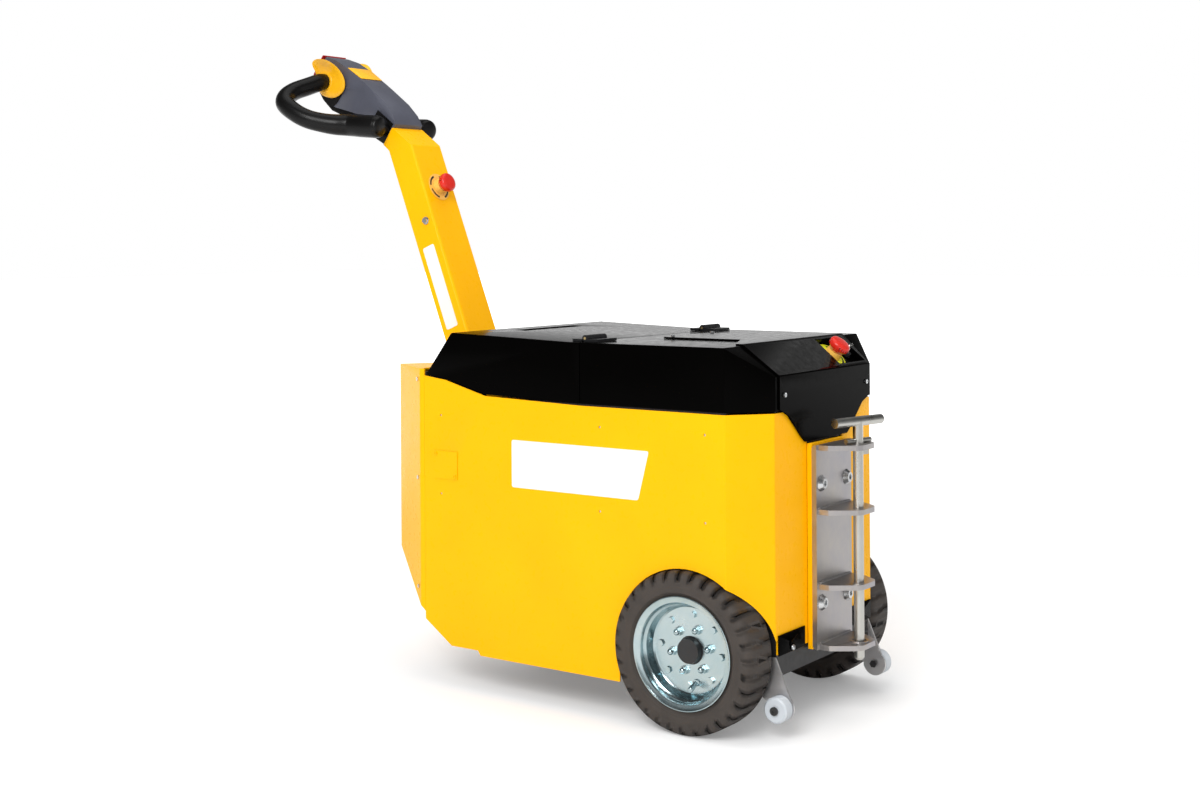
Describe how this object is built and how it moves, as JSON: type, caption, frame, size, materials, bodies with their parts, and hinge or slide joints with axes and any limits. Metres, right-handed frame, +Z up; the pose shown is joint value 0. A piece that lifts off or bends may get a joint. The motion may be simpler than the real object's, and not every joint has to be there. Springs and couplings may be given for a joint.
{
  "type": "walk-behind electric tug",
  "caption": "Compact walk-behind electric tug with a folding tiller, bow grips, drive wheels, rear castor, hinged battery lid and a pinned tow hitch.",
  "frame": {"origin": "on the floor, under the middle of the overall length and width at rest", "axes": "+X points at the tow hitch, +Z is up, -Y is the near side in the picture"},
  "size_m": [1.3263, 0.524, 1.2532],
  "materials": {
    "frame_black": "satin powder coat",
    "cast_black": "satin black casting",
    "gear_case": "as-cast grey",
    "motor_case": "satin dark grey",
    "battery_case": "matte",
    "strap_steel": "brushed",
    "controller_case": "anodised",
    "charger_case": "satin",
    "yellow_paint": "semi-gloss powder coat",
    "black_paint": "semi-gloss powder coat",
    "fastener_zinc": "zinc plated",
    "hitch_zinc": "zinc plated",
    "pin_steel": "bright",
    "rim_zinc": "bright zinc",
    "tyre": "matte",
    "hub_black": "satin black",
    "roller": "smooth",
    "castor_tyre": "matte",
    "stop_collar": "smooth",
    "stop_label": "smooth",
    "stop_red": "smooth",
    "switch_black": "matte",
    "key_steel": "nickel",
    "hinge_black": "powder coat",
    "hinge_brass": "bright",
    "shaft_steel": "turned",
    "head_grey": "fine grained",
    "head_black": "fine grained",
    "grip_rubber": "soft touch",
    "lever_yellow": "smooth",
    "belly_red": "smooth"
  },
  "bodies": {
    "chassis": {"chassis_frame": "frame_black", "axle_carriers": "cast_black", "transaxle": "gear_case", "drive_motor": "motor_case", "battery_near": "battery_case", "battery_far": "battery_case", "battery_strap": "strap_steel", "motor_controller": "controller_case", "charger_unit": "charger_case", "near_side_panel": "yellow_paint", "far_side_panel": "yellow_paint", "panel_spacers": "fastener_zinc", "front_cover": "black_paint", "nose_plate": "black_paint", "nose_screws": "fastener_zinc", "control_tray": "black_paint", "stop_base": "stop_collar", "stop_disc": "stop_label", "key_switch": "switch_black", "rear_end_cover": "yellow_paint", "end_cover_screws": "fastener_zinc", "access_cover": "yellow_paint", "corner_guards": "black_paint", "tow_back_plate": "yellow_paint", "hitch_bracket": "hitch_zinc", "hitch_bolts": "fastener_zinc", "stabiliser_arms": "hitch_zinc", "roller_bolts": "fastener_zinc", "cover_hinges": "hinge_black", "hinge_pins": "hinge_brass", "pivot_shaft": "shaft_steel", "castor_mount": "hitch_zinc"},
    "near_wheel": {"near_tyre": "tyre", "near_rim": "rim_zinc", "near_wheel_nuts": "rim_zinc", "near_hub": "hub_black"},
    "far_wheel": {"far_tyre": "tyre", "far_rim": "rim_zinc", "far_wheel_nuts": "rim_zinc", "far_hub": "hub_black"},
    "castor": {"castor_fork": "hitch_zinc", "castor_axle": "fastener_zinc"},
    "castor_roller": {"castor_wheel": "castor_tyre"},
    "near_roller": {"near_roller": "roller"},
    "far_roller": {"far_roller": "roller"},
    "tiller": {"tiller_arm": "yellow_paint", "arm_bolt": "fastener_zinc", "arm_stop_base": "stop_collar", "head_upper": "head_grey", "head_lower": "head_black", "handlebar": "grip_rubber", "button_pad": "lever_yellow"},
    "thumb_control": {"thumb_lever": "lever_yellow"},
    "reversing_switch": {"belly_switch": "belly_red"},
    "tiller_stop": {"arm_stop_head": "stop_red"},
    "nose_stop": {"front_stop_head": "stop_red"},
    "key": {"switch_key": "key_steel"},
    "lid": {"rear_lid": "black_paint", "lid_hinges": "hinge_black"},
    "tow_pin": {"tow_pin": "pin_steel"}
  },
  "joints": [
    {"name": "near_wheel_spin", "type": "hinge", "parent": "chassis", "child": "near_wheel", "pos_m": [0.4341, -0.222, 0.14], "axis": [0, 1, 0], "continuous": true},
    {"name": "far_wheel_spin", "type": "hinge", "parent": "chassis", "child": "far_wheel", "pos_m": [0.4341, 0.222, 0.14], "axis": [0, 1, 0], "continuous": true},
    {"name": "castor_swivel", "type": "hinge", "parent": "chassis", "child": "castor", "pos_m": [0.0041, 0, 0.19], "axis": [0, 0, 1], "continuous": true},
    {"name": "castor_spin", "type": "hinge", "parent": "castor", "child": "castor_roller", "pos_m": [-0.0299, 0, 0.075], "axis": [0, 1, 0], "continuous": true},
    {"name": "near_roller_spin", "type": "hinge", "parent": "chassis", "child": "near_roller", "pos_m": [0.5841, -0.189, 0.054], "axis": [0, 1, 0], "continuous": true},
    {"name": "far_roller_spin", "type": "hinge", "parent": "chassis", "child": "far_roller", "pos_m": [0.5841, 0.189, 0.054], "axis": [0, 1, 0], "continuous": true},
    {"name": "tiller_tilt", "type": "hinge", "parent": "chassis", "child": "tiller", "pos_m": [-0.1189, 0, 0.33], "axis": [0, -1, 0], "range_deg": [0, 50], "stiffness_Nm_per_rad": 30, "springref_deg": -80.21},
    {"name": "thumb_turn", "type": "hinge", "parent": "tiller", "child": "thumb_control", "pos_m": [-0.61848, 0, 1.19223], "axis": [0, 1, 0], "range_deg": [-25, 25], "stiffness_Nm_per_rad": 0.6},
    {"name": "reversing_press", "type": "slide", "parent": "tiller", "child": "reversing_switch", "axis": [0.8121, 0, -0.5835], "range_m": [0, 0.007], "stiffness_N_per_m": 900, "springref_m": -0.004},
    {"name": "tiller_stop_press", "type": "slide", "parent": "tiller", "child": "tiller_stop", "axis": [-0.9317, 0, -0.3633], "range_m": [0, 0.005]},
    {"name": "nose_stop_press", "type": "slide", "parent": "chassis", "child": "nose_stop", "axis": [-0.6365, 0, -0.7713], "range_m": [0, 0.005]},
    {"name": "key_turn", "type": "hinge", "parent": "chassis", "child": "key", "pos_m": [0.53946, 0.148, 0.62979], "axis": [0.6365, 0, 0.7713], "range_deg": [0, 90]},
    {"name": "lid_open", "type": "hinge", "parent": "chassis", "child": "lid", "pos_m": [0.2141, 0, 0.6683], "axis": [0, 1, 0], "range_deg": [0, 80]},
    {"name": "tow_pin_lift", "type": "slide", "parent": "chassis", "child": "tow_pin", "axis": [0, 0, 1], "range_m": [0, 0.25]}
  ]
}
